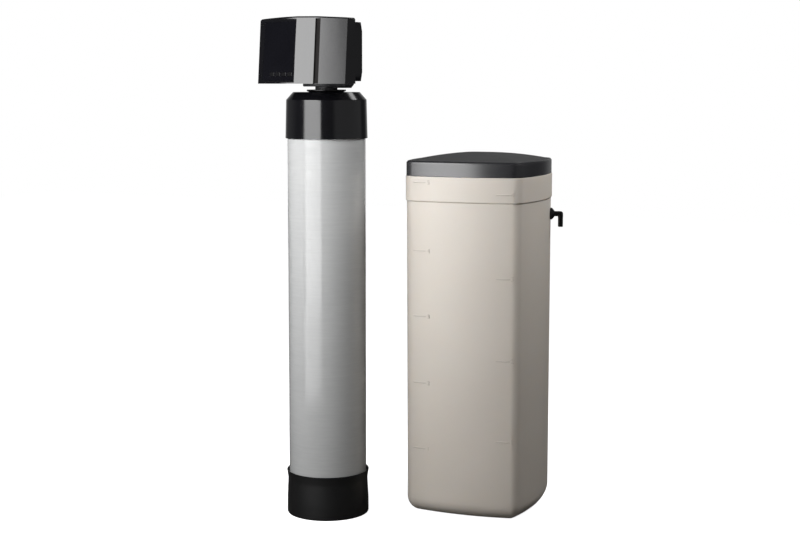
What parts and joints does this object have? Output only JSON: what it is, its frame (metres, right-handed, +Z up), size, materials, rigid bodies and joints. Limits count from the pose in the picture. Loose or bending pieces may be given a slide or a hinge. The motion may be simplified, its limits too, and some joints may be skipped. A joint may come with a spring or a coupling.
{
  "type": "water conditioner",
  "caption": "Water conditioner: a slim wound mineral tank with a motor-driven control head, and a separate square brine tank with a lift-off lid.",
  "frame": {"origin": "on the floor below the mineral tank's axis", "axes": "+Z up, the control head faces -Y, +X to the right seen from the front"},
  "size_m": [0.6386, 0.605, 1.329],
  "materials": {
    "vessel": "wound resin-coated fibre, silver grey",
    "boot_rubber": "moulded black rubber",
    "black_gloss": "polished black",
    "black_matte": "fine moulded texture",
    "beige_plastic": "moulded polyethylene, warm beige",
    "lid_plastic": "moulded dark grey with a soft gloss",
    "valve_plastic": "glass-filled moulding, dark grey",
    "white_plastic": "plain white moulding",
    "pale_pipe": "extruded pipe, pale grey",
    "gear_plastic": "natural acetal",
    "seal_rubber": "soft black rubber",
    "motor_metal": "zinc-plated can",
    "screw_steel": "zinc-plated",
    "black_screw": "black coated",
    "board": "solder mask green",
    "smoked_lens": "polished dark lens",
    "display": "dark display glass in its housing",
    "key_black": "polished black keys",
    "resin": "amber bead bed",
    "gravel": "washed gravel bed"
  },
  "bodies": {
    "root": {"mineral_tank": "vessel", "tank_boot": "boot_rubber", "tank_collar": "black_gloss", "neck_adapter": "black_matte", "tank_o_ring": "seal_rubber", "resin_bed": "resin", "gravel_bed": "gravel", "riser_tube": "pale_pipe", "lower_distributor": "white_plastic", "upper_distributor": "white_plastic", "valve_body": "valve_plastic", "stack_spacers": "white_plastic", "stack_seals": "seal_rubber", "drive_cap": "valve_plastic", "drive_bracket": "black_matte", "bracket_screws": "screw_steel", "drive_motor": "motor_metal", "injector": "white_plastic", "injector_cap": "black_matte", "drain_elbow": "black_matte", "brine_fitting": "black_matte", "inlet_fitting": "black_matte", "outlet_fitting": "black_matte", "port_nuts": "black_matte", "meter_spider": "white_plastic", "front_cover": "black_gloss", "back_cover": "black_gloss", "display_lens": "smoked_lens", "display_module": "display", "circuit_board": "board", "cover_screws": "black_screw", "brine_tank": "beige_plastic", "salt_grid": "white_plastic", "brine_well": "pale_pipe", "safety_valve": "white_plastic", "pickup_tube": "pale_pipe", "air_check": "white_plastic", "overflow_elbow": "black_matte", "overflow_nut": "black_matte", "overflow_washer": "seal_rubber"},
    "lid": {"brine_tank_lid": "lid_plastic"},
    "well_cap": {"brine_well_cap": "white_plastic"},
    "float_body": {"float": "white_plastic", "float_rod": "pale_pipe", "rod_grommets": "seal_rubber"},
    "drive_wheel": {"drive_gear": "gear_plastic"},
    "low_wheel": {"reduction_gear_low": "gear_plastic"},
    "high_wheel": {"reduction_gear_high": "gear_plastic"},
    "pinion": {"motor_pinion": "gear_plastic"},
    "piston_body": {"piston": "white_plastic", "piston_rod": "screw_steel"},
    "turbine": {"meter_turbine": "white_plastic"},
    "key_1_body": {"key_1": "key_black"},
    "key_2_body": {"key_2": "key_black"},
    "key_3_body": {"key_3": "key_black"},
    "key_4_body": {"key_4": "key_black"}
  },
  "joints": [
    {"name": "lid_lift", "type": "slide", "parent": "root", "child": "lid", "axis": [0, 0, 1], "range_m": [0, 0.25]},
    {"name": "well_cap_lift", "type": "slide", "parent": "root", "child": "well_cap", "axis": [0, 0, 1], "range_m": [0, 0.04]},
    {"name": "float_rise", "type": "slide", "parent": "root", "child": "float_body", "axis": [0, 0, 1], "range_m": [0, 0.02]},
    {"name": "key_1_press", "type": "slide", "parent": "root", "child": "key_1_body", "axis": [0.2292, 0.9697, -0.0843], "range_m": [0, 0.0012], "stiffness_N_per_m": 400},
    {"name": "key_2_press", "type": "slide", "parent": "root", "child": "key_2_body", "axis": [0.2292, 0.9697, -0.0843], "range_m": [0, 0.0012], "stiffness_N_per_m": 400},
    {"name": "key_3_press", "type": "slide", "parent": "root", "child": "key_3_body", "axis": [0.2292, 0.9697, -0.0843], "range_m": [0, 0.0012], "stiffness_N_per_m": 400},
    {"name": "key_4_press", "type": "slide", "parent": "root", "child": "key_4_body", "axis": [0.2292, 0.9697, -0.0843], "range_m": [0, 0.0012], "stiffness_N_per_m": 400},
    {"name": "drive_turn", "type": "hinge", "parent": "root", "child": "drive_wheel", "pos_m": [0, -0.08, 1.214], "axis": [0, -1, 0], "range_deg": [0, 1080]},
    {"name": "piston_slide", "type": "slide", "parent": "root", "child": "piston_body", "axis": [0, -1, 0], "range_m": [0, 0.036]},
    {"name": "low_wheel_turn", "type": "hinge", "parent": "root", "child": "low_wheel", "pos_m": [0.01283, -0.08, 1.24924], "axis": [0, -1, 0], "range_deg": [-4320, 0]},
    {"name": "high_wheel_turn", "type": "hinge", "parent": "root", "child": "high_wheel", "pos_m": [0.01283, -0.08, 1.27124], "axis": [0, -1, 0], "range_deg": [0, 11520.01]},
    {"name": "pinion_turn", "type": "hinge", "parent": "root", "child": "pinion", "pos_m": [0.02333, -0.08, 1.28943], "axis": [0, -1, 0], "range_deg": [-36864.01, 0]},
    {"name": "meter_turn", "type": "hinge", "parent": "root", "child": "turbine", "pos_m": [0.038, 0.042, 1.214], "axis": [0, 1, 0], "continuous": true}
  ],
  "couplings": [
    {"joint": "piston_slide", "follows": "drive_turn", "m_per_rad": 0.0019099},
    {"joint": "low_wheel_turn", "follows": "drive_turn", "ratio": -4},
    {"joint": "high_wheel_turn", "follows": "drive_turn", "ratio": 10.667},
    {"joint": "pinion_turn", "follows": "drive_turn", "ratio": -34.133}
  ]
}
